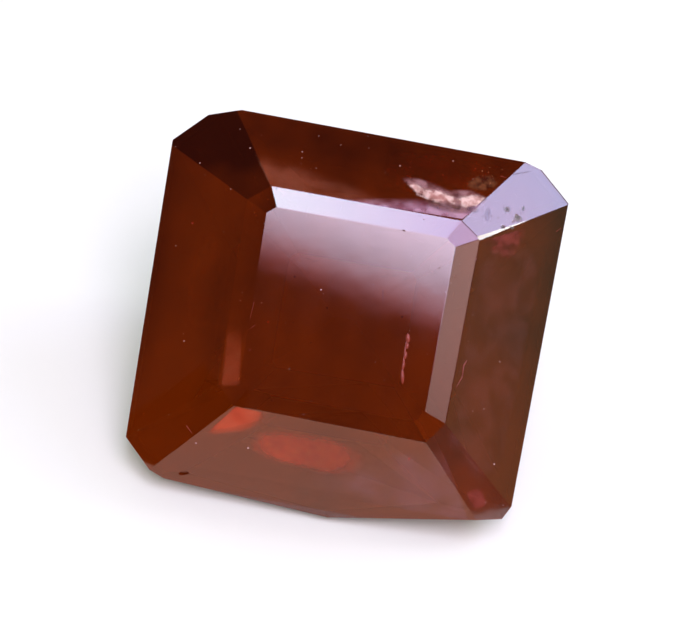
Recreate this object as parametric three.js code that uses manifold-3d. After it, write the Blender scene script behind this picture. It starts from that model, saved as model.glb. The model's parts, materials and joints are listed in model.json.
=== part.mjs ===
// A loose ruby in a clipped-corner step cut: one crystal, ground flat facet by facet.
// The stone is ground upright about its own axis, table up, and is then laid on one pavilion facet,
// the way such a stone comes to rest on a bench. Millimetres and degrees, +Z up.

import * as THREE from "three";
import { mergeVertices } from "three/addons/utils/BufferGeometryUtils.js";
import Module from "manifold-3d";

const wasm = await Module();
wasm.setup();

// The side of the block of rough that the stone is ground from.
const ROUGH = 14;

// Heights above the girdle's top edge at which one step of facets gives way to the next.
const TABLE = 1.68;
const CROWN_BREAK = 1.53;
const GIRDLE_TOP = 0;
const GIRDLE_FOOT = -0.35;
const SHOULDER = -1.1;
const HEEL = -3.7;
const KEEL = -4.3;

// The cutting lists. azimuth is the way a facet faces, turned from +X, and the other numbers say how far
// its edges lie from the stone's axis at those heights. It is a hand cut, so no two sides agree.

// The crown: an outer step from the girdle up to the break, and an inner step from there up to the table.
const CROWN = [
  { azimuth: 359, girdle: 4.99, crownBreak: 2.83, table: 2.27 },
  { azimuth: 55, girdle: 5.94, crownBreak: 3.63, table: 3.06 },
  { azimuth: 89.3, girdle: 4.63, crownBreak: 2.81, table: 2.32 },
  { azimuth: 129, girdle: 5.89, crownBreak: 3.69, table: 3.17 },
  { azimuth: 180.6, girdle: 4.98, crownBreak: 2.85, table: 2.34 },
  { azimuth: 227, girdle: 6.22, crownBreak: 3.5, table: 2.99 },
  { azimuth: 268.5, girdle: 4.7, crownBreak: 2.64, table: 2.18 },
  { azimuth: 324, girdle: 6.37, crownBreak: 3.53, table: 2.95 },
];

// The girdle: upright walls. The front side bellies out in two flats, and three corners took an extra one.
const GIRDLE = [
  { azimuth: 359, out: 4.99 },
  { azimuth: 48, out: 6.17 },
  { azimuth: 75, out: 5.41 },
  { azimuth: 89.3, out: 4.63 },
  { azimuth: 107, out: 5.47 },
  { azimuth: 135, out: 6.13 },
  { azimuth: 180.6, out: 4.98 },
  { azimuth: 225, out: 6.25 },
  { azimuth: 247, out: 5.9 },
  { azimuth: 265.8, out: 5.05 },
  { azimuth: 279.3, out: 5.09 },
  { azimuth: 333, out: 6.21 },
];

// The pavilion's first step, steep, from the girdle's foot in to the shoulder.
const PAVILION_RIM = [
  { azimuth: 359, foot: 4.99, shoulder: 4.57 },
  { azimuth: 47, foot: 6.17, shoulder: 5.68 },
  { azimuth: 89.3, foot: 4.63, shoulder: 4.22 },
  { azimuth: 135, foot: 6.13, shoulder: 5.66 },
  { azimuth: 180.6, foot: 4.98, shoulder: 4.55 },
  { azimuth: 226, foot: 6.25, shoulder: 5.76 },
  { azimuth: 265.8, foot: 5.05, shoulder: 4.58 },
  { azimuth: 279.3, foot: 5.09, shoulder: 4.6 },
  { azimuth: 323, foot: 6.4, shoulder: 5.9 },
];

// Its main step down to the heel, and its last step, almost flat, in to the keel.
// The one facing azimuth 270 is the facet that the stone lies on.
const REST = { azimuth: 270, shoulder: 4.5, heel: 1.61, keel: 0.2 };
const PAVILION = [
  { azimuth: 0, shoulder: 4.57, heel: 1.68, keel: 0.4 },
  { azimuth: 46, shoulder: 5.68, heel: 2.05, keel: 0.5 },
  { azimuth: 90, shoulder: 4.22, heel: 1.4, keel: 0.06 },
  { azimuth: 134, shoulder: 5.66, heel: 2.02, keel: 0.5 },
  { azimuth: 180, shoulder: 4.55, heel: 1.65, keel: 0.38 },
  { azimuth: 226, shoulder: 5.76, heel: 2.2, keel: 0.6 },
  REST,
  { azimuth: 316, shoulder: 5.95, heel: 2.25, keel: 0.6 },
];

// The angle that the resting facet makes with the girdle, and so the lean that lays it flat.
const LEAN = Math.atan2(SHOULDER - HEEL, REST.shoulder - REST.heel);

// A closed geometry as a solid that can be joined and cut.
function solidOf(geometry) {
  const bare = new THREE.BufferGeometry();
  bare.setIndex(geometry.index);
  bare.setAttribute("position", geometry.getAttribute("position"));
  const merged = mergeVertices(bare);
  const vertProperties = merged.getAttribute("position").array;
  const triVerts = new Uint32Array(merged.index.array);
  return new wasm.Manifold(new wasm.Mesh({ numProp: 3, vertProperties, triVerts }));
}

// A solid as a geometry, flat-shaded so that each facet stays crisp.
function geometryOf(solid) {
  const mesh = solid.getMesh();
  const geometry = new THREE.BufferGeometry();
  geometry.setAttribute("position", new THREE.BufferAttribute(mesh.vertProperties, 3));
  geometry.setIndex(new THREE.BufferAttribute(mesh.triVerts, 1));
  const facets = geometry.toNonIndexed();
  facets.computeVertexNormals();
  return facets;
}

// The stone less everything on the far side of a plane, given by its outward normal and its distance out.
function grind(stone, normal, distance) {
  const waste = new THREE.BoxGeometry(2 * ROUGH, 2 * ROUGH, 2 * ROUGH);
  waste.translate(0, 0, ROUGH + distance);
  const up = new THREE.Vector3(0, 0, 1);
  waste.applyQuaternion(new THREE.Quaternion().setFromUnitVectors(up, normal));
  return stone.subtract(solidOf(waste));
}

// One facet that faces azimuth and runs between two level edges, each given by how far out and how high it is.
function facet(stone, azimuth, outer, inner) {
  const [out, height] = outer;
  const climb = inner[1] - height;
  const run = out - inner[0];
  const steepness = Math.hypot(climb, run);
  const level = Math.abs(climb) / steepness;
  const upward = (run * Math.sign(climb)) / steepness;
  const turn = THREE.MathUtils.degToRad(azimuth);
  const normal = new THREE.Vector3(level * Math.cos(turn), level * Math.sin(turn), upward);
  return grind(stone, normal, out * level + height * upward);
}

function grindTable(stone) {
  return grind(stone, new THREE.Vector3(0, 0, 1), TABLE);
}

function grindCrown(stone) {
  return CROWN.reduce((cut, side) => {
    const girdle = [side.girdle, GIRDLE_TOP];
    const crownBreak = [side.crownBreak, CROWN_BREAK];
    const table = [side.table, TABLE];
    return facet(facet(cut, side.azimuth, girdle, crownBreak), side.azimuth, crownBreak, table);
  }, stone);
}

function grindGirdle(stone) {
  return GIRDLE.reduce((cut, wall) => {
    return facet(cut, wall.azimuth, [wall.out, GIRDLE_FOOT], [wall.out, GIRDLE_TOP]);
  }, stone);
}

function grindPavilion(stone) {
  const rimmed = PAVILION_RIM.reduce((cut, side) => {
    return facet(cut, side.azimuth, [side.foot, GIRDLE_FOOT], [side.shoulder, SHOULDER]);
  }, stone);
  return PAVILION.reduce((cut, side) => {
    const shoulder = [side.shoulder, SHOULDER];
    const heel = [side.heel, HEEL];
    const keel = [side.keel, KEEL];
    return facet(facet(cut, side.azimuth, shoulder, heel), side.azimuth, heel, keel);
  }, rimmed);
}

function ruby() {
  const rough = solidOf(new THREE.BoxGeometry(ROUGH, ROUGH, ROUGH));
  const cut = grindPavilion(grindGirdle(grindCrown(grindTable(rough))));
  const material = new THREE.MeshStandardMaterial({ color: 0x6b1c0c, roughness: 0.05, metalness: 0 });
  const mesh = new THREE.Mesh(geometryOf(cut), material);
  mesh.name = "ruby";
  return mesh;
}

// Lays the stone down on its resting facet, with that facet in the plane z = 0 and the stone centred over
// the origin.
function layDown(stone) {
  stone.rotation.x = LEAN;
  const reach = new THREE.Box3().setFromObject(stone, true);
  const middle = reach.getCenter(new THREE.Vector3());
  stone.position.set(-middle.x, -middle.y, -reach.min.z);
  return stone;
}

const part = new THREE.Group();
part.add(layDown(ruby()));

export default part;
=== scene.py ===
"""A loose step-cut ruby, lying on one pavilion facet on a pale studio floor."""

import json
import math
import random

import bmesh
import bpy
from mathutils import Matrix, Vector, noise
from mathutils.bvhtree import BVHTree


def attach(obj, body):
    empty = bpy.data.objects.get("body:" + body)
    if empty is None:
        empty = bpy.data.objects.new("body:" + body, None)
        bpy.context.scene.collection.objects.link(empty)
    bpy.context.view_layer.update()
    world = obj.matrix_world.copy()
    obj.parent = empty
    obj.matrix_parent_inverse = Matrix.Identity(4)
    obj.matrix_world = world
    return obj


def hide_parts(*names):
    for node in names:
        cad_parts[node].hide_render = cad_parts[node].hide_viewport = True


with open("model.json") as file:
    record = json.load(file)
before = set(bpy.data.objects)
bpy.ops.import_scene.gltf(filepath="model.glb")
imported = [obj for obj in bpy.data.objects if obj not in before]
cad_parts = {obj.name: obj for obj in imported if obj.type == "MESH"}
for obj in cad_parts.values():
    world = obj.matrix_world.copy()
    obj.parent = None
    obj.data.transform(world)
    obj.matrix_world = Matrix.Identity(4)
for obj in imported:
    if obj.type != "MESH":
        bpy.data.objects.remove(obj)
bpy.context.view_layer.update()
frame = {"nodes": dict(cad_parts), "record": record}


# ---------------------------------------------------------------------------------------
# The crystal. One piece of natural corundum, red from chromium and browned by iron. It was
# sawn, ground flat one facet at a time and polished on a metal lap, so the facets are flat
# to a micron and the edges between them are crisp, with a few nicks from wear.

MM = 0.001

mounts = {mount["name"]: mount for mount in frame["record"]["mounts"]}
TABLE = Vector(mounts["table"]["pos_m"])
OUT = Vector(mounts["table"]["axis"]).normalized()
ACROSS = Vector((1, 0, 0))
UPHILL = OUT.cross(ACROSS)


def from_table(across, uphill, depth=0.0):
    """A point in millimetres from the middle of the table: right, uphill and into the stone."""
    return TABLE + (ACROSS * across + UPHILL * uphill - OUT * depth) * MM


def linear(hexcode):
    """An sRGB hex colour as the linear colour that a shader takes."""
    channels = [int(hexcode[i : i + 2], 16) / 255 for i in (1, 3, 5)]
    return [c / 12.92 if c <= 0.04045 else ((c + 0.055) / 1.055) ** 2.4 for c in channels] + [1.0]


def new_material(name):
    material = bpy.data.materials.new(name)
    material.use_nodes = True
    material.node_tree.nodes.clear()
    return material


def add_node(material, kind, inputs=None, **settings):
    """Adds a node. inputs gives a socket its value, or the output of the node that feeds it."""
    tree = material.node_tree
    node = tree.nodes.new(kind)
    for name, value in settings.items():
        setattr(node, name, value)
    for socket, value in (inputs or {}).items():
        if isinstance(value, bpy.types.Node):
            value = next(output for output in value.outputs if output.enabled)
        if isinstance(value, bpy.types.NodeSocket):
            tree.links.new(value, node.inputs[socket])
        else:
            node.inputs[socket].default_value = value
    return node


def piece_of(mesh, name, material):
    """Makes a finished bmesh a piece that rides with the stone."""
    piece = bpy.data.objects.new(name, bpy.data.meshes.new(name))
    mesh.to_mesh(piece.data)
    mesh.free()
    piece.data.materials.append(material)
    bpy.context.scene.collection.objects.link(piece)
    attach(piece, "root")
    return piece


# Polished corundum: a hard, glassy skin, and a body so deep in colour that light is brown-red
# after one millimetre and almost gone after five. Milky silk in it scatters a tenth of the
# light, which fills the stone with an even glow. Painted shade and painted glow lie in the base
# colour: darker toward the girdle and on the back left and right facets, paler away from the
# middle, in the low corners and on the front facets. Over these lie clouds and faint straight
# bands of colour. Below the girdle the lap left the facets satin.
CORUNDUM_IOR = 1.77
ABSORBED_PER_M = 2400.0
BODY_TINT = (0.67, 0.35, 0.0, 1.0)
CLEAR_SHARE = 0.9
# The base colour runs between these two colours. Painted glow moves it toward the pale one, painted
# shade toward the dark one, and random clouds and bands move it both ways.
PALE_AND_GLOWING = "#FF610D"
DARK_AND_SHADED = "#7A2408"
MIDDLE_TONE = 0.41
PALER_SIDEWAYS = 0.035 / MM
PALER_IN_LOW_CORNERS = 0.028 / MM**2
CLOUD_SIZE = 1.6 * MM
CLOUD_TONE = 0.8
BAND_SPACING = 0.9 * MM
BAND_TONE = 0.05
WAVE_PERIOD = 0.314  # the wave texture repeats after this much of its own scale
POLISHED = 0.045
SATIN = 0.35
POLISH_EDGE = 0.05 * MM
UNEVEN_SIZE = 0.7 * MM
UNEVEN_POLISH = 0.05
SWELL_SIZE = 0.9 * MM
SWELL_HEIGHT = 0.0011 * MM
BACK_LEFT_FACET = (-0.359, -0.219, 0.907)
LEFT_BREAK_FACET = (-0.282, -0.644, 0.711)
RIGHT_FACET = (0.578, -0.553, 0.600)
FRONT_FACET = (-0.016, -0.980, 0.198)
FRONT_RIGHT_BREAK = (0.203, -0.757, 0.621)
GIRDLE_FOOT = from_table(0, 0, 2.03).dot(OUT)

corundum = new_material("polished_corundum")
spot = add_node(corundum, "ShaderNodeTexCoord").outputs["Object"]
height = add_node(corundum, "ShaderNodeVectorMath", {0: spot, 1: OUT[:]}, operation="DOT_PRODUCT")
lap = add_node(
    corundum,
    "ShaderNodeMapRange",
    {
        "Value": height.outputs["Value"],
        "From Min": GIRDLE_FOOT - POLISH_EDGE,
        "From Max": GIRDLE_FOOT + POLISH_EDGE,
        "To Min": SATIN,
        "To Max": POLISHED,
    },
)
lap_marks = add_node(
    corundum, "ShaderNodeTexNoise", {"Vector": spot, "Scale": 1 / UNEVEN_SIZE, "Detail": 4.0}
)
uneven = add_node(
    corundum,
    "ShaderNodeMath",
    {0: lap_marks.outputs["Fac"], 1: UNEVEN_POLISH, 2: -UNEVEN_POLISH / 2},
    operation="MULTIPLY_ADD",
)
polish = add_node(
    corundum, "ShaderNodeMath", {0: lap.outputs["Result"], 1: uneven}, operation="ADD"
)

# Painted glow: paler away from the middle sideways and in the low corners.
risen = add_node(corundum, "ShaderNodeVectorMath", {0: spot, 1: UPHILL[:]}, operation="DOT_PRODUCT")
above = add_node(
    corundum,
    "ShaderNodeMath",
    {0: risen.outputs["Value"], 1: TABLE.dot(UPHILL)},
    operation="SUBTRACT",
)
below = add_node(corundum, "ShaderNodeMath", {0: above, 1: 0.0}, operation="MINIMUM")
sideways = add_node(corundum, "ShaderNodeSeparateXYZ", {"Vector": spot}).outputs["X"]
off_centre = add_node(corundum, "ShaderNodeMath", {0: sideways}, operation="ABSOLUTE")
spread = add_node(corundum, "ShaderNodeMath", {0: below, 1: off_centre}, operation="MULTIPLY")
middle = add_node(
    corundum,
    "ShaderNodeMath",
    {0: off_centre, 1: -PALER_SIDEWAYS, 2: MIDDLE_TONE},
    operation="MULTIPLY_ADD",
)
tone = add_node(
    corundum,
    "ShaderNodeMath",
    {0: spread, 1: PALER_IN_LOW_CORNERS, 2: middle},
    operation="MULTIPLY_ADD",
)
faces = add_node(corundum, "ShaderNodeNewGeometry").outputs["True Normal"]


# Used below to paint shade and glow into the base colour facet by facet.
def facing(direction):
    """How squarely the skin faces a direction: 1 where it is one facet's own."""
    turned = add_node(
        corundum, "ShaderNodeVectorMath", {0: faces, 1: direction}, operation="DOT_PRODUCT"
    )
    return turned.outputs["Value"]


def ramp(value, start, end, top):
    """Runs from 0 to top while the value goes from start to end."""
    ends = {"Value": value, "From Min": start, "From Max": end, "To Max": top}
    return add_node(corundum, "ShaderNodeMapRange", ends).outputs["Result"]


# Painted glow: the left break facet is paler low down.
left_break = ramp(facing(LEFT_BREAK_FACET), 0.985, 0.99, 0.6)
low_down = ramp(above, -0.7 * MM, -1.5 * MM, 0.6)
low_left_break = add_node(
    corundum, "ShaderNodeMath", {0: left_break, 1: low_down}, operation="MINIMUM"
)
painted_light = add_node(corundum, "ShaderNodeMath", {0: tone, 1: low_left_break}, operation="SUBTRACT")
# Painted shade and glow: darker at the girdle's sides and back and on the back left and right
# facets, paler on the front facet, its right break and the left side.
for painted_ramp in (
    ramp(off_centre, 3.9 * MM, 5.0 * MM, 0.4),  # the girdle's two sides
    ramp(above, 2.9 * MM, 3.9 * MM, 0.28),  # and its back
    ramp(facing(BACK_LEFT_FACET), 0.92, 0.99, 0.6),
    ramp(facing(RIGHT_FACET), 0.93, 0.94, 0.22),
    ramp(facing(FRONT_FACET), 0.98, 0.99, -0.25),
    ramp(facing(FRONT_RIGHT_BREAK), 0.99, 0.995, -0.4),
    ramp(sideways, -2.4 * MM, -4.0 * MM, -0.14),  # a paler left side
):
    painted_light = add_node(corundum, "ShaderNodeMath", {0: painted_light, 1: painted_ramp}, operation="ADD")
cloud = add_node(
    corundum, "ShaderNodeTexNoise", {"Vector": spot, "Scale": 1 / CLOUD_SIZE, "Detail": 3.0}
)
bands = add_node(
    corundum,
    "ShaderNodeTexWave",
    {
        "Vector": spot,
        "Scale": WAVE_PERIOD / BAND_SPACING,
        "Distortion": 2.5,
        "Detail": 2.0,
        "Detail Scale": 0.4,
    },
)
clouded = add_node(
    corundum,
    "ShaderNodeMath",
    {0: cloud.outputs["Fac"], 1: CLOUD_TONE, 2: -CLOUD_TONE / 2},
    operation="MULTIPLY_ADD",
)
banded = add_node(
    corundum,
    "ShaderNodeMath",
    {0: bands.outputs["Fac"], 1: BAND_TONE, 2: clouded},
    operation="MULTIPLY_ADD",
)
tone_and_painted_light = add_node(
    corundum, "ShaderNodeMath", {0: painted_light, 1: banded}, operation="ADD", use_clamp=True
)
colour = add_node(
    corundum,
    "ShaderNodeMix",
    {"Factor": tone_and_painted_light, 6: linear(PALE_AND_GLOWING), 7: linear(DARK_AND_SHADED)},
    data_type="RGBA",
)

# The flats swell and dip by about a micron.
swell = add_node(
    corundum, "ShaderNodeTexNoise", {"Vector": spot, "Scale": 1 / SWELL_SIZE, "Detail": 2.0}
)
bump = add_node(
    corundum,
    "ShaderNodeBump",
    {"Height": swell.outputs["Fac"], "Strength": 1.0, "Distance": SWELL_HEIGHT},
)
skin = add_node(
    corundum,
    "ShaderNodeBsdfPrincipled",
    {
        "Base Color": colour.outputs[2],
        "Roughness": polish,
        "IOR": CORUNDUM_IOR,
        "Transmission Weight": CLEAR_SHARE,
        "Normal": bump.outputs["Normal"],
    },
)
body = add_node(
    corundum, "ShaderNodeVolumeAbsorption", {"Color": BODY_TINT, "Density": ABSORBED_PER_M}
)
add_node(
    corundum,
    "ShaderNodeOutputMaterial",
    {"Surface": skin.outputs["BSDF"], "Volume": body.outputs["Volume"]},
)

# The facets, merged from loose triangles, and a probe that finds the skin from above the table.
MERGE_WITHIN = 0.001 * MM
FLAT_WITHIN = math.radians(0.5)
ABOVE_ALL = -5.0

facets = bmesh.new()
facets.from_mesh(frame["nodes"]["ruby"].data)
bmesh.ops.remove_doubles(facets, verts=facets.verts, dist=MERGE_WITHIN)
bmesh.ops.dissolve_limit(facets, angle_limit=FLAT_WITHIN, verts=facets.verts, edges=facets.edges)
probe = BVHTree.FromBMesh(facets)


def skin_at(across, uphill):
    """The skin's point and normal under a place in millimetres from the middle of the table."""
    point, normal, _, _ = probe.ray_cast(from_table(across, uphill, ABOVE_ALL), -OUT)
    return point, normal


# Wear. Pits are round or ragged and a hair deep, scratches are long grooves, and nicks sit on
# the edges. Each is a small rough stone, sunk into the skin and cut away.
CLEARANCE = 0.6  # of the sum of two grains' lengths
NICKS = 70
PITS = 24

rough = random.Random(7)
wear = bmesh.new()
worn = []


def bite(point, normal, length, width, depth, turn):
    """Adds a rough grain to cut with, length and width along the skin, sunk by depth. None is
    added where two would touch."""
    if any((point - other).length < (length + reach) * CLEARANCE * MM for other, reach in worn):
        return
    worn.append((point, length))
    lie = normal.to_track_quat("Z", "Y").to_matrix().to_4x4()
    lie.translation = point
    lie = lie @ Matrix.Rotation(turn, 4, "Z") @ Matrix.Diagonal((length / 2, width / 2, depth, 1))
    grain = bmesh.ops.create_icosphere(wear, subdivisions=2, radius=MM, matrix=Matrix())["verts"]
    for vert in grain:
        vert.co *= rough.uniform(0.8, 1.1)
        vert.co = lie @ vert.co


# Pits in the bright back right facet, and a hairline scratch across its far corner.
for across, uphill, size in (
    (3.51, 3.21, 0.1), (3.93, 3.32, 0.09), (3.79, 3.06, 0.17), (3.7, 2.93, 0.1),
    (3.46, 2.75, 0.11), (3.87, 3.19, 0.05), (3.3, 2.95, 0.05),
):
    bite(*skin_at(across, uphill), size, size * 0.8, size * 0.06, rough.uniform(0, 3))
bite(*skin_at(3.77, 4.2), 0.66, 0.018, 0.012, -0.4)

# A chip in the foot of the front facet, and one where three facets meet at its right end.
bite(*skin_at(-3.32, -4.63), 0.32, 0.15, 0.07, 0.4)
bite(*skin_at(2.4, -2.75), 0.16, 0.06, 0.04, 1.0)

# Nicks and pits elsewhere, at random: most on the edges, which take the knocks, long edges
# more than short ones.
edges = facets.edges[:]
lengths = [edge.calc_length() for edge in edges]
for _ in range(NICKS):
    edge = rough.choices(edges, lengths)[0]
    ends = [vert.co for vert in edge.verts]
    normal = sum((face.normal for face in edge.link_faces), Vector()).normalized()
    size = rough.uniform(0.025, 0.07)
    bite(ends[0].lerp(ends[1], rough.uniform(0.06, 0.94)), normal, size, size * 0.7, size * 0.3, 0)
for _ in range(PITS):
    point, normal = skin_at(rough.uniform(-4, 4), rough.uniform(-3, 3.6))
    size = rough.uniform(0.025, 0.05)
    bite(point, normal, size, size * rough.uniform(0.4, 1), 0.012, rough.uniform(0, 3))

cutter = bpy.data.objects.new("wear_grains", bpy.data.meshes.new("wear_grains"))
wear.to_mesh(cutter.data)
wear.free()
bpy.context.scene.collection.objects.link(cutter)

# The edges are a hundredth of a millimetre round. One at the back right corner is worn more,
# and two stayed sharp.
EDGE_WEAR = 0.01 * MM
CORNER_WEAR = 0.036 * MM

roundness = facets.edges.layers.float.new("bevel_weight_edge")
for edge in facets.edges:
    edge[roundness] = EDGE_WEAR / CORNER_WEAR
for across, uphill, share in ((4.43, 4.0, 1.0), (3.9, 2.93, 0.0), (0.0, 2.68, 0.0)):
    near, _ = skin_at(across, uphill)
    knock = min(
        facets.edges, key=lambda edge: ((edge.verts[0].co + edge.verts[1].co) / 2 - near).length
    )
    knock[roundness] = share

crystal = bpy.data.objects.new("ruby_crystal", bpy.data.meshes.new("worn_facets"))
facets.to_mesh(crystal.data)
facets.free()
bpy.context.scene.collection.objects.link(crystal)


def apply_modifiers():
    """Gives the crystal the mesh that its modifiers make."""
    shaped = crystal.evaluated_get(bpy.context.evaluated_depsgraph_get())
    crystal.data = bpy.data.meshes.new_from_object(shaped)
    crystal.modifiers.clear()


soften = crystal.modifiers.new("soften", "BEVEL")
soften.width = CORNER_WEAR
soften.segments = 2
soften.limit_method = "WEIGHT"
soften.use_clamp_overlap = False
apply_modifiers()

# A sliver of a facet along the foot of the back right one, where the lap touched the edge.
SLIVER_FACES = Vector((0.3914, -0.3225, 0.8617)).normalized()
SLIVER_CUT = 0.0085 * MM

foot, _ = skin_at(3.05, 2.44)
stone = bmesh.new()
stone.from_mesh(crystal.data)
bmesh.ops.bisect_plane(
    stone,
    geom=stone.verts[:] + stone.edges[:] + stone.faces[:],
    plane_co=foot - SLIVER_FACES * SLIVER_CUT,
    plane_no=SLIVER_FACES,
    clear_outer=True,
)
bmesh.ops.holes_fill(stone, edges=[edge for edge in stone.edges if edge.is_boundary])
bmesh.ops.recalc_face_normals(stone, faces=stone.faces)
stone.to_mesh(crystal.data)
stone.free()

cut = crystal.modifiers.new("cut", "BOOLEAN")
cut.object = cutter
cut.solver = "EXACT"
apply_modifiers()
bpy.data.objects.remove(cutter)
crystal.data.name = "ruby_crystal"
crystal.data.materials.clear()
crystal.data.materials.append(corundum)
crystal.data.attributes.remove(crystal.data.attributes["custom_normal"])
crystal.data.shade_flat()
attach(crystal, "root")
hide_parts("ruby")


# ---------------------------------------------------------------------------------------
# Veils. Films thinner than a hair, sealed just under the facets. They are painted light: an
# orange one paints glow in the front facet, and two brown ones paint shade on the left and right.

FILM = 0.008 * MM
FOLDS_PER_MM = (4, 9)


def under_skin(across, uphill, depth):
    """A point that many millimetres below the facet, square to it."""
    point, normal = skin_at(across, uphill)
    return point - normal * depth * MM


def veil(
    name, corners, depth, crumple, material, cells=(48, 24), square=(2, 2), centre=(0, 0)
):
    """A film, flat or crumpled, between four corners: low left, low right, high right and high
    left. Its attribute cover falls from 1 at its centre to 0 at the rim, which is oval, or
    squarer at its ends and sides the higher the two powers in square."""
    film = bmesh.new()
    bmesh.ops.create_grid(film, x_segments=cells[0], y_segments=cells[1], size=1)
    cover = film.verts.layers.float.new("cover")
    low_left, low_right, high_right, high_left = (Vector(corner) for corner in corners)
    for vert in film.verts:
        along, rise, _ = vert.co
        low = low_left.lerp(low_right, (along + 1) / 2)
        high = high_left.lerp(high_right, (along + 1) / 2)
        spot = low.lerp(high, (rise + 1) / 2)
        coarse, fine = (noise.noise(Vector((*spot, depth)) * folds) for folds in FOLDS_PER_MM)
        ends = abs(along - centre[0]) / (1 + abs(centre[0]))
        sides = abs(rise - centre[1]) / (1 + abs(centre[1]))
        vert[cover] = max(0, 1 - ends ** square[0] - sides ** square[1])
        vert.co = under_skin(*spot, depth + crumple * (coarse + 0.5 * fine))
    bmesh.ops.solidify(film, geom=film.faces[:], thickness=FILM)
    bmesh.ops.recalc_face_normals(film, faces=film.faces)
    for face in film.faces:
        face.smooth = True
    return piece_of(film, name, material)


# Where in the noise one colour turns to the other, the cover at which a film begins to show
# and is whole, and its faint sheen.
COLOUR_TURNS = (0.4, 0.6)
RIM = (0.02, 0.8)
FAINT_SHEEN = 0.1


def film_of(name, grain, colours, body, ragged, roughness=0.7):
    """A thin film: colours from two mixed in patches of that grain in mm. body is how much it
    hides at most, and ragged how far its torn rim wanders either way of its place."""
    film = new_material(name)
    spot = add_node(film, "ShaderNodeTexCoord").outputs["Object"]
    patches = add_node(
        film, "ShaderNodeTexNoise", {"Vector": spot, "Scale": 1 / (grain * MM), "Detail": 3.0}
    )
    tone = add_node(
        film,
        "ShaderNodeMapRange",
        {
            "Value": patches.outputs["Fac"],
            "From Min": COLOUR_TURNS[0],
            "From Max": COLOUR_TURNS[1],
        },
    )
    shade = add_node(
        film,
        "ShaderNodeMix",
        {"Factor": tone.outputs["Result"], 6: linear(colours[0]), 7: linear(colours[1])},
        data_type="RGBA",
    )
    cover = add_node(film, "ShaderNodeAttribute", attribute_name="cover").outputs["Fac"]
    torn = add_node(
        film,
        "ShaderNodeMath",
        {0: patches.outputs["Fac"], 1: 4 * ragged, 2: 1 - 2 * ragged},
        operation="MULTIPLY_ADD",
    )
    edge = add_node(film, "ShaderNodeMath", {0: cover, 1: torn}, operation="MULTIPLY")
    hides = add_node(
        film,
        "ShaderNodeMapRange",
        {"Value": edge, "From Min": RIM[0], "From Max": RIM[1], "To Min": 0.0, "To Max": body},
        interpolation_type="SMOOTHSTEP",
    )
    surface = add_node(
        film,
        "ShaderNodeBsdfPrincipled",
        {
            "Base Color": shade.outputs[2],
            "Roughness": roughness,
            "Specular IOR Level": FAINT_SHEEN,
            "Alpha": hides.outputs["Result"],
        },
    )
    add_node(film, "ShaderNodeOutputMaterial", {"Surface": surface.outputs["BSDF"]})
    return film


# Painted glow: an orange-red film that paints the glow of light low in the front facet.
glow_paint = film_of("painted_glow_film", 0.6, ("#F04818", "#FF9038"), 0.75, 0.3)
# Painted shade: a dull brown film that darkens the facet over it.
shade_paint = film_of("painted_shade_film", 0.5, ("#2A0A04", "#4A120A"), 0.45, 0.4)

# Painted glow: an orange film low in the front facet.
veil(
    "painted_glow_veil",
    ((-1.98, -3.97), (1.2, -4.13), (1.08, -3.05), (-1.85, -3.05)),
    0.1,
    0.0,
    glow_paint,
    square=(2.4, 2.4),
)
# Painted shade: brown films in the middle of the left side and at the head of the right.
veil("left_middle_shade", ((-4.0, -1.3), (-3.1, -1.1), (-3.2, 1.5), (-4.1, 1.5)), 0.1, 0.05, shade_paint)
veil("right_head_shade", ((4.0, 0.4), (4.7, 0.6), (4.8, 2.5), (4.2, 2.3)), 0.1, 0.05, shade_paint)


# ---------------------------------------------------------------------------------------
# Films a few microns thick on the polish. Most are painted light: a mauve glow that softens the
# foot of the back facet, warm, orange and red glow, and faint grey and rose reflections.

ON_SKIN = -0.003


def skin_film(name, material, low_left, low_right, high_right, high_left, lift=0.0, **shape):
    """A flat film on the skin, lifted by some millimetres so that it clears the ones under it."""
    corners = (low_left, low_right, high_right, high_left)
    return veil(name, corners, ON_SKIN - lift, 0.0, material, **shape)


# Painted glow: a mauve haze at the foot of the back facet, thick enough to hide half of the
# red under it.
painted_foot_glow = film_of("painted_glow_haze", 0.4, ("#A47084", "#DCB4C8"), 0.45, 0.3)
# Painted warm and left glow and painted grey and rose reflection: films so thin that they
# only shift a facet's colour.
painted_warm_glow = film_of("painted_warm_glow", 0.6, ("#C07250", "#E89470"), 0.085, 0.4)
painted_left_glow = film_of("painted_left_glow", 0.6, ("#E06C48", "#F08058"), 0.085, 0.3)
painted_grey_reflection = film_of("painted_grey_reflection", 0.5, ("#4C3024", "#94605C"), 0.06, 0.25)
painted_rose_reflection = film_of("painted_rose_reflection", 0.8, ("#A07068", "#D0949C"), 0.05, 0.3)
# Painted red and orange glow: a warm patch on the facet.
painted_red_glow = film_of("painted_red_glow", 0.25, ("#802830", "#B85450"), 0.2, 0.8)
painted_orange_glow = film_of("painted_orange_glow", 0.5, ("#E8502C", "#F06440"), 0.26, 0.3)
# Grey dirt and a dried smear: dull specks and a bluish mark on the bright corner facet.
dirt = film_of("grey_dirt", 0.07, ("#5C5C50", "#98968C"), 0.4, 0.8)
smear = film_of("dried_smear", 0.12, ("#6C687C", "#8C88A0"), 0.2, 0.4)

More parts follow.
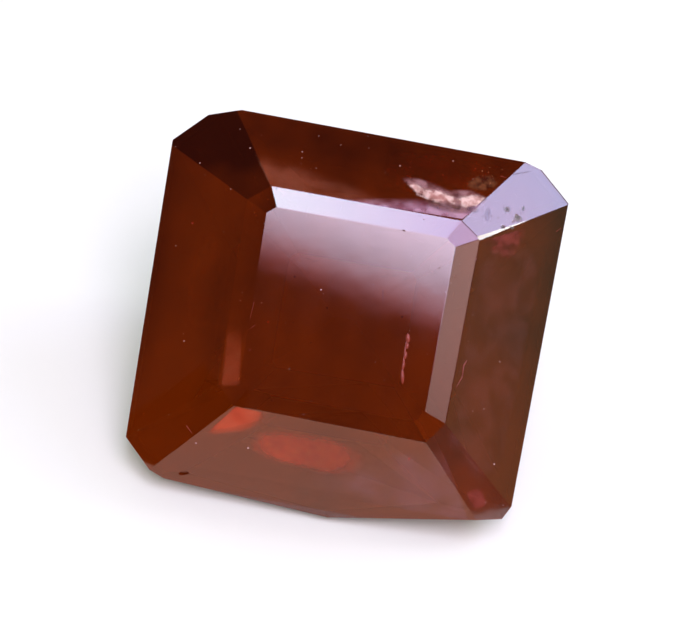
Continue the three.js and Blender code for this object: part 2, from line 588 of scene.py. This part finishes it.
# Painted glow: mauve at the foot of the back facet, warm at the back left, red on the right, pale
# on the left break facet and orange at the front left.
skin_film("painted_foot_glow", painted_foot_glow, (-1.0, 2.7), (2.4, 2.75), (2.97, 3.36), (-1.0, 2.98),
      cells=(90, 20), square=(1.2, 1.4), centre=(0.8, -1))
skin_film("painted_warm_glow", painted_warm_glow, (-2.32, 2.72), (1.2, 2.75), (1.0, 3.5), (-2.95, 3.6),
      lift=0.001, cells=(80, 24), square=(1.3, 1.3), centre=(-0.9, -1))
skin_film("painted_red_glow", painted_red_glow, (3.0, 1.7), (4.1, 1.9), (4.05, 2.84), (2.98, 2.3),
      square=(1.6, 1.3), centre=(0.1, 1))
skin_film("painted_red_foot_glow", painted_red_glow, (3.65, -4.3), (4.3, -4.4), (4.4, -3.95), (3.7, -3.45),
      square=(1.4, 1.4))
skin_film("painted_left_break_glow", painted_left_glow, (-2.71, -2.22), (-2.27, -2.15), (-2.42, -0.6), (-2.84, -0.6),
      square=(12, 1.2), centre=(0, -1))
skin_film("painted_orange_glow", painted_orange_glow, (-2.95, -3.55), (-1.6, -3.4), (-1.5, -2.72), (-2.28, -2.68),
      square=(2.2, 2.5), centre=(-1, 0.9))
# Painted reflection: a faint grey-mauve tint on the right facets and a rose tint on the front
# facet.
skin_film("painted_right_reflection", painted_grey_reflection, (2.9, -3.2), (4.5, -3.9), (4.7, 2.6), (2.95, 2.2),
      lift=0.001, cells=(40, 100), square=(6, 6))
skin_film("painted_front_reflection", painted_rose_reflection, (-1.0, -4.6), (3.9, -4.6), (2.8, -2.75), (0.8, -3.3),
      cells=(80, 32), centre=(0.5, -0.2))
for across, uphill, wide, tall, grime in (
    (3.02, 2.98, 0.1, 0.2, smear),
    (3.51, 3.2, 0.1, 0.1, dirt),
    (3.81, 3.02, 0.14, 0.11, dirt),
    (3.92, 3.3, 0.04, 0.08, dirt),
    (3.68, 2.77, 0.07, 0.04, dirt),
    (3.44, 2.73, 0.06, 0.05, dirt),
):
    left, right, low, high = across - wide, across + wide, uphill - tall, uphill + tall
    skin_film("dirt", grime, (left, low), (right, low), (right, high), (left, high), cells=(12, 12))


# ---------------------------------------------------------------------------------------
# The feather. An open crack comes up through the foot of the back facet. Air in it makes it a
# crumpled mirror, cream and pink with rusty gold where iron has crept in, and above it the stone
# is darker, in brown and black mottle.

# Cracked stone: a dusky pink haze round the crack.
haze = film_of("cracked_stone", 0.3, ("#744440", "#B48888"), 0.5, 0.3)
# Air-filled crack: a bright cream and pink film, a little glossier than the haze.
feather = film_of("air_filled_crack", 0.2, ("#B07C70", "#E4C4B6"), 0.8, 0.5, roughness=0.5)
# Rusty crack: golden brown streaks.
rust = film_of("rusty_crack", 0.2, ("#2E140A", "#7C4C2C"), 0.4, 0.6)
# Dark mottle: brown and black clouds under the facet above the crack.
dark_mottle = film_of("dark_mottled_stone", 0.4, ("#140603", "#84442C"), 0.6, 0.5)

veil("dark_mottle", ((0.2, 3.1), (2.84, 3.3), (3.7, 4.38), (0.4, 4.35)), 0.06, 0.02, dark_mottle,
     cells=(90, 30), square=(4, 4))
skin_film("rust", rust, (1.3, 2.8), (2.8, 2.85), (2.9, 3.2), (1.3, 3.25), lift=0.002, cells=(60, 20))
skin_film("rusty_streaks", rust, (2.2, 3.55), (3.0, 3.48), (3.34, 3.9), (2.8, 4.1),
      lift=0.001, cells=(60, 30))
skin_film("haze_left", haze, (0.72, 3.36), (2.3, 2.9), (2.35, 3.42), (0.85, 3.7),
      lift=0.003, cells=(60, 24))
skin_film("haze_right", haze, (1.6, 2.9), (2.6, 2.98), (3.12, 3.62), (1.65, 3.42),
      lift=0.004, cells=(60, 24))
skin_film("feather_tip", feather, (0.9, 3.3), (1.5, 3.1), (1.55, 3.32), (0.95, 3.56),
      lift=0.005, cells=(30, 12), square=(1.5, 1.5))
skin_film("feather_left", feather, (1.2, 3.06), (2.5, 2.96), (2.5, 3.34), (1.2, 3.43),
      lift=0.005, cells=(60, 20), square=(1.5, 1.5), centre=(-0.2, 0))
skin_film("feather_right", feather, (2.1, 2.98), (2.62, 3.02), (3.0, 3.48), (2.15, 3.4),
      lift=0.006, cells=(40, 20), square=(1.5, 1.5), centre=(0.3, 0))


# ---------------------------------------------------------------------------------------
# Grains. Tiny crystals of rutile and zircon caught while the ruby grew: pale, golden, red or
# almost black, a few hundredths of a millimetre across, most of them near the feather.

STAIN_SIZE = 0.06 * MM
STAIN_DARKENS = 0.55
GRAIN_ROUGHNESS = 0.35
JUST_PROUD = 0.004

seeds = random.Random(23)


def grain_material(name, hexcode):
    """A mineral grain: one body colour that patches of darker stain break up."""
    grain = new_material(name)
    spot = add_node(grain, "ShaderNodeTexCoord").outputs["Object"]
    stain = add_node(
        grain, "ShaderNodeTexNoise", {"Vector": spot, "Scale": 1 / STAIN_SIZE, "Detail": 2.0}
    )
    light = linear(hexcode)
    dark = [channel * STAIN_DARKENS for channel in light[:3]] + [1.0]
    shade = add_node(
        grain,
        "ShaderNodeMix",
        {"Factor": stain.outputs["Fac"], 6: dark, 7: light},
        data_type="RGBA",
    )
    surface = add_node(
        grain,
        "ShaderNodeBsdfPrincipled",
        {"Base Color": shade.outputs[2], "Roughness": GRAIN_ROUGHNESS},
    )
    add_node(grain, "ShaderNodeOutputMaterial", {"Surface": surface.outputs["BSDF"]})
    return grain


def grains(name, spots, material):
    """Angular grains, each given by its place across and uphill, its depth and its size in mm.
    One less deep than half its size breaks the skin, and shows its own colour."""
    crumbs = bmesh.new()
    for across, uphill, depth, size in spots:
        shape = Matrix.Diagonal([seeds.uniform(0.4, 1.0) for _ in range(3)]).to_4x4()
        turn, pole = seeds.uniform(0, 3), Vector([seeds.uniform(-1, 1) for _ in range(3)])
        shape = Matrix.Rotation(turn, 4, pole) @ shape
        shape.translation = under_skin(across, uphill, depth)
        shape = shape @ Matrix.Scale(size / 2 * MM, 4)
        bmesh.ops.create_icosphere(crumbs, subdivisions=1, radius=1, matrix=shape)
    return piece_of(crumbs, name, material)


def strewn(count, low, high, depth, size):
    """Random places in the strip between two corners."""
    return [
        (
            seeds.uniform(low[0], high[0]),
            seeds.uniform(low[1], high[1]),
            seeds.uniform(*depth),
            seeds.uniform(*size),
        )
        for _ in range(count)
    ]


# Zircon is pale and waxy, bleached rutile a dull brick pink, and rutile golden, red or nearly
# black, with the soft gloss of a broken face.
pale_grain = grain_material("zircon_grain", "#D8A89C")
needle_grain = grain_material("bleached_rutile", "#8E3626")
gold_grain = grain_material("golden_rutile_grain", "#9C683C")
red_grain = grain_material("red_rutile_grain", "#D03A2A")
dark_grain = grain_material("dark_rutile_grain", "#1E0A08")

grains(
    "pale_grains",
    [
        (across, uphill, JUST_PROUD, size)
        for across, uphill, size in (
            (-1.73, 3.76, 0.045), (-1.71, 3.6, 0.038), (-1.39, 4.25, 0.038),
            (-0.81, 4.11, 0.038), (-0.11, 4.16, 0.038), (-0.18, 4.47, 0.03),
            (0.72, 3.83, 0.068), (2.02, 4.2, 0.053), (-3.35, 4.08, 0.045),
            (-3.01, 3.63, 0.053), (-4.44, 0.95, 0.045), (-4.88, 3.4, 0.038),
            (-4.18, 3.07, 0.045), (-3.29, 2.53, 0.045), (-0.71, 0.47, 0.053),
            (1.47, 2.58, 0.068), (-1.83, -3.68, 0.075), (-3.12, -3.78, 0.068),
            (4.28, -3.09, 0.068), (3.97, -0.55, 0.045), (3.48, -1.85, 0.038),
            (3.76, -1.76, 0.038), (4.24, -4.08, 0.045), (4.72, -4.1, 0.038),
            (-3.82, -1.34, 0.053), (-3.9, -3.2, 0.038),
        )
    ]
    + strewn(40, (-4.2, -3.2), (4.2, 4.2), (0.003, 0.004), (0.015, 0.03)),
    pale_grain,
)
grains(
    "gold_grains",
    strewn(24, (0.8, 3.3), (3.1, 3.8), (0.0, 0.01), (0.02, 0.04))
    + strewn(12, (2.7, 3.75), (3.3, 4.2), (0.0, 0.01), (0.02, 0.06))
    + strewn(40, (-1.7, -4.0), (0.8, -3.2), (0.05, 0.3), (0.015, 0.04)),
    gold_grain,
)
grains(
    "red_grains",
    [
        (-4.12, 1.57, 0.03, 0.1), (1.0, 3.61, 0.04, 0.12), (-1.85, -0.51, 0.03, 0.09),
        (2.12, -3.27, 0.04, 0.12),
    ]
    + strewn(16, (0.6, 3.5), (3.0, 4.2), (0.04, 0.2), (0.03, 0.08)),
    red_grain,
)
grains(
    "dark_grains",
    [(1.34, 0.15, 0.02, 0.06), (-2.76, -2.4, 0.12, 0.2), (2.9, 2.9, 0.02, 0.06)]
    + strewn(40, (0.7, 3.45), (3.1, 4.15), (0.1, 0.2), (0.05, 0.14))
    + strewn(24, (-4.1, -3.0), (4.1, 4.0), (0.1, 0.5), (0.03, 0.07)),
    dark_grain,
)


# ---------------------------------------------------------------------------------------
# Needles and silk. Rutile threads that grew in three directions square to the crystal's main
# axis. One thick needle of long beads comes up to the skin in the right half of the table. The
# real silk is far thinner than a hair and is drawn coarser here, so that it shows.

BEAD_DEPTH = 0.02
CORE_DEPTH = 0.01
CORE_RADIUS = 0.02
SLIVER_DEPTH = 0.002
SLIVER_TAPER = 0.4
THREADS = 220
THREAD_DIRECTIONS = (24, 84, 144)
THREAD_RADII = (0.005, 0.002)


def along(start, end):
    """The turn and place of a thing that lies from one point to another, and its length."""
    way = end - start
    lie = way.to_track_quat("Z", "X").to_matrix().to_4x4()
    lie.translation = (start + end) / 2
    return lie, way.length


def rod(mesh, start, end, thick, thin, segments=6):
    """A tapering rod between two points, with its radius at each end."""
    lie, length = along(start, end)
    bmesh.ops.create_cone(
        mesh,
        cap_ends=True,
        segments=segments,
        radius1=thick * MM,
        radius2=thin * MM,
        depth=length,
        matrix=lie,
    )


def bead(mesh, start, end, radius):
    """A long bead from one point to another."""
    lie, length = along(start, end)
    shape = lie @ Matrix.Diagonal((radius * MM, radius * MM, length / 2, 1))
    bmesh.ops.create_icosphere(mesh, subdivisions=2, radius=1, matrix=shape)


beads = bmesh.new()
string = (
    ((1.54, -0.22), (1.59, -0.46), 0.065),
    ((1.575, -0.44), (1.58, -0.61), 0.05),
    ((1.575, -0.65), (1.57, -0.87), 0.05),
    ((1.56, -0.84), (1.57, -1.14), 0.045),
    ((1.55, -1.08), (1.63, -1.47), 0.05),
)
for start, end, radius in string:
    bead(beads, under_skin(*start, BEAD_DEPTH), under_skin(*end, BEAD_DEPTH), radius)
first, last = (under_skin(*string[end][0], CORE_DEPTH) for end in (0, -1))
rod(beads, first, last, CORE_RADIUS, CORE_RADIUS)
piece_of(beads, "beaded_needle", needle_grain)

slivers = bmesh.new()
for start, end, thick in (
    ((-2.26, -0.09), (-2.29, -0.5), 0.006),
    ((0.77, 0.72), (0.83, 0.38), 0.006),
    ((-2.15, -0.64), (-2.31, -0.81), 0.006),
    ((3.036, -0.779), (3.105, -0.628), 0.022),
    ((3.036, -0.779), (3.055, -1.04), 0.022),
    ((3.055, -1.04), (2.94, -1.33), 0.016),
    ((3.02, -2.4), (3.07, -2.85), 0.007),
    ((4.88, 2.9), (5.0, 3.02), 0.01),
    ((-3.42, -3.38), (-3.25, -3.55), 0.02),
    ((3.25, 4.02), (3.4, 4.0), 0.012),
):
    ends = under_skin(*start, SLIVER_DEPTH), under_skin(*end, SLIVER_DEPTH)
    rod(slivers, *ends, thick, thick * SLIVER_TAPER)
piece_of(slivers, "slivers", needle_grain)

silk = bmesh.new()
for _ in range(THREADS):
    across, uphill = seeds.uniform(-3.9, 3.9), seeds.uniform(-3.0, 3.7)
    middle = under_skin(across, uphill, seeds.uniform(0.12, 0.7))
    angle = math.radians(seeds.choice(THREAD_DIRECTIONS) + seeds.uniform(-2, 2))
    reach = (ACROSS * math.cos(angle) + UPHILL * math.sin(angle)) * seeds.uniform(0.03, 0.09) * MM
    rod(silk, middle - reach, middle + reach, *THREAD_RADII, segments=4)
piece_of(silk, "rutile_silk", gold_grain)


# ---------------------------------------------------------------------------------------
# The studio. A plain pale floor, soft boxes above and to the right, and the camera looking
# down on the table. The wall is bright only for the camera: the stone sees a dim room.

CAMERA_DISTANCE = 49 * MM
CAMERA_LENS = 100.3
CAMERA_LEFT = math.radians(1.5)
CAMERA_UP = math.radians(0.5)
CAMERA_ROLL = math.radians(9.6)
CAMERA_SHIFT = (0.105, -0.037)
AXIS = from_table(0.031, -0.082, 1.68)

back = (-math.sin(CAMERA_LEFT) * ACROSS + math.sin(CAMERA_UP) * UPHILL + OUT).normalized()
level = (UPHILL - UPHILL.dot(back) * back).normalized()
side = level.cross(back)
right = math.cos(CAMERA_ROLL) * side + math.sin(CAMERA_ROLL) * level
up = math.cos(CAMERA_ROLL) * level - math.sin(CAMERA_ROLL) * side
aim = AXIS + right * CAMERA_SHIFT[0] * MM + up * CAMERA_SHIFT[1] * MM
place = Matrix((right, up, back)).transposed().to_4x4()
place.translation = aim + back * CAMERA_DISTANCE
camera = bpy.data.objects.new("camera", bpy.data.cameras.new("camera"))
camera.matrix_world = place
camera.data.lens = CAMERA_LENS
camera.data.clip_start = 1 * MM
camera.data.clip_end = 5.0
bpy.context.scene.collection.objects.link(camera)
bpy.context.scene.camera = camera

# Matt paper: an even, very pale sheet with no shine.
PAPER = (0.76, 0.81, 0.70, 1)

paper = new_material("matt_paper")
sheet = add_node(paper, "ShaderNodeBsdfPrincipled", {"Base Color": PAPER, "Roughness": 0.9})
add_node(paper, "ShaderNodeOutputMaterial", {"Surface": sheet.outputs["BSDF"]})
slab = bmesh.new()
bmesh.ops.create_grid(slab, x_segments=1, y_segments=1, size=1.5)
floor = bpy.data.objects.new("floor", bpy.data.meshes.new("floor"))
slab.to_mesh(floor.data)
slab.free()
floor.data.materials.append(paper)
bpy.context.scene.collection.objects.link(floor)

# The key box is warmer in its lowest few millimetres.
WARM_FOOT = 4.5


def softbox(
    name,
    toward,
    distance,
    width,
    height,
    strength,
    colour,
    far_colour=None,
    foot_colour=None,
    turn=0.0,
    square=False,
    **fades,
):
    """A glowing card. toward is its direction from the stone: right, uphill and out of the table.
    It faces the stone, or hangs square to the table, turned in its own plane by turn degrees.
    left, right, low and high give the millimetres over which that side dims, and far_colour is
    the colour that it shades to at its right end. foot_colour tints the last few millimetres of
    its low side."""
    way = ACROSS * toward[0] + UPHILL * toward[1] + OUT * toward[2]
    facing = OUT if square else way.normalized()
    rise = (UPHILL - UPHILL.dot(facing) * facing).normalized()
    hung = Matrix((rise.cross(facing), rise, facing)).transposed().to_4x4()
    hung = hung @ Matrix.Rotation(math.radians(turn), 4, "Z")
    hung.translation = AXIS + way * distance * MM
    cloth = new_material(name)
    spot = add_node(cloth, "ShaderNodeTexCoord").outputs["Object"]
    axes = add_node(cloth, "ShaderNodeSeparateXYZ", {"Vector": spot})
    sides = {
        "left": ("X", -width / 2),
        "right": ("X", width / 2),
        "low": ("Y", -height / 2),
        "high": ("Y", height / 2),
    }

    def across_card(axis, dark, bright):
        ends = {"Value": axes.outputs[axis], "From Min": dark * MM, "From Max": bright * MM}
        return add_node(cloth, "ShaderNodeMapRange", ends).outputs["Result"]

    glow = strength
    for fade, depth in fades.items():
        axis, edge = sides[fade]
        dimmed = across_card(axis, edge, edge - math.copysign(depth, edge))
        glow = add_node(cloth, "ShaderNodeMath", {0: glow, 1: dimmed}, operation="MULTIPLY")
    shade = add_node(
        cloth,
        "ShaderNodeMix",
        {
            "Factor": across_card("X", -width / 2, width / 2),
            6: linear(colour),
            7: linear(far_colour or colour),
        },
        data_type="RGBA",
    )
    if foot_colour:
        rise_of_tint = across_card("Y", -height / 2, -height / 2 + WARM_FOOT)
        tint = {"Factor": rise_of_tint, 6: linear(foot_colour), 7: shade.outputs[2]}
        shade = add_node(cloth, "ShaderNodeMix", tint, data_type="RGBA")
    lamp = add_node(cloth, "ShaderNodeEmission", {"Color": shade.outputs[2], "Strength": glow})
    add_node(cloth, "ShaderNodeOutputMaterial", {"Surface": lamp.outputs["Emission"]})
    card = bmesh.new()
    bmesh.ops.create_grid(card, x_segments=1, y_segments=1, size=0.5)
    bmesh.ops.scale(card, vec=(width * MM, height * MM, 1), verts=card.verts)
    box = bpy.data.objects.new(name, bpy.data.meshes.new(name))
    card.to_mesh(box.data)
    card.free()
    box.data.materials.append(cloth)
    box.matrix_world = hung
    box.visible_camera = False
    bpy.context.scene.collection.objects.link(box)
    return box


softbox("key_softbox", (0.243, 0.418, 1), 140, 105, 126, 9.1, "#F4E2FF", foot_colour="#FF8E95",
        turn=-11.2, square=True, low=9, high=20, left=8, right=45)
softbox("top_softbox", (0.06, 0.80, 1), 139, 60, 50, 15.0, "#E9F5FF", far_colour="#9066BB",
        square=True, low=5, high=15, left=4, right=4)
softbox("corner_softbox", (0.448, 0.549, 1), 139, 14, 12, 7.2, "#E1CBFF", square=True)
softbox("back_softbox", (0.586, 0.758, 0.287), 140, 56, 56, 7.9, "#CFD0FF",
        low=8, high=8, left=8, right=8)
softbox("rim_softbox", (0.735, 0.60, 0.31), 139, 30, 30, 13.0, "#FFFFFF",
        low=6, high=6, left=6, right=6)
softbox("right_softbox", (0.75, -0.08, 1), 140, 50, 70, 3.0, "#FFD9D4", square=True,
        low=60, high=8, left=8, right=8)
softbox("side_bounce", (0.973, -0.024, 0.229), 120, 70, 70, 0.35, "#FFEFBC",
        low=10, high=20, left=15, right=15)


def flag(name, foot, azimuth, width, height, strength, colour, lean=90, **fades):
    """A low card by the stone that only reflections see, so that a facet doesn't mirror the
    floor. foot is its middle in millimetres, and lean turns it up from the floor."""
    card = softbox(name, (0, 0, 0), 0, width, height, strength, colour, **fades)
    card.matrix_world = (
        Matrix.Translation(Vector(foot) * MM)
        @ Matrix.Rotation(math.radians(azimuth), 4, "Z")
        @ Matrix.Rotation(math.radians(lean), 4, "X")
    )
    card.visible_shadow = False
    card.visible_diffuse = False
    card.visible_transmission = False


flag("front_flag", (0, -9.3, 0.05), 90, 10, 30, 1.75, "#EBA88E", lean=0, far_colour="#C8A89A")
flag("left_flag", (-7.2, -7.9, 2.6), -37, 12, 5, 0.0, "#FFFFFF")
flag("right_flag", (21.7, -20.4, 4), 46, 30, 8, 0.5, "#D0A090")

# The wall: white behind the stone, dim where light falls from it, almost black in reflections.
WALL_SEEN = 0.95
WALL_LIGHTS = 0.62
WALL_MIRRORED = 0.02

room = bpy.data.worlds.new("room")
room.use_nodes = True
room.node_tree.nodes.clear()
ray = add_node(room, "ShaderNodeLightPath")
seen = add_node(
    room,
    "ShaderNodeMath",
    {0: ray.outputs["Is Camera Ray"], 1: WALL_SEEN, 2: WALL_MIRRORED},
    operation="MULTIPLY_ADD",
)
soft = add_node(
    room,
    "ShaderNodeMath",
    {0: ray.outputs["Is Diffuse Ray"], 1: WALL_LIGHTS, 2: seen},
    operation="MULTIPLY_ADD",
)
wall = add_node(room, "ShaderNodeBackground", {"Color": (1, 1, 1, 1), "Strength": soft})
add_node(room, "ShaderNodeOutputWorld", {"Surface": wall.outputs["Background"]})
bpy.context.scene.world = room
bpy.context.scene.view_settings.view_transform = "Standard"
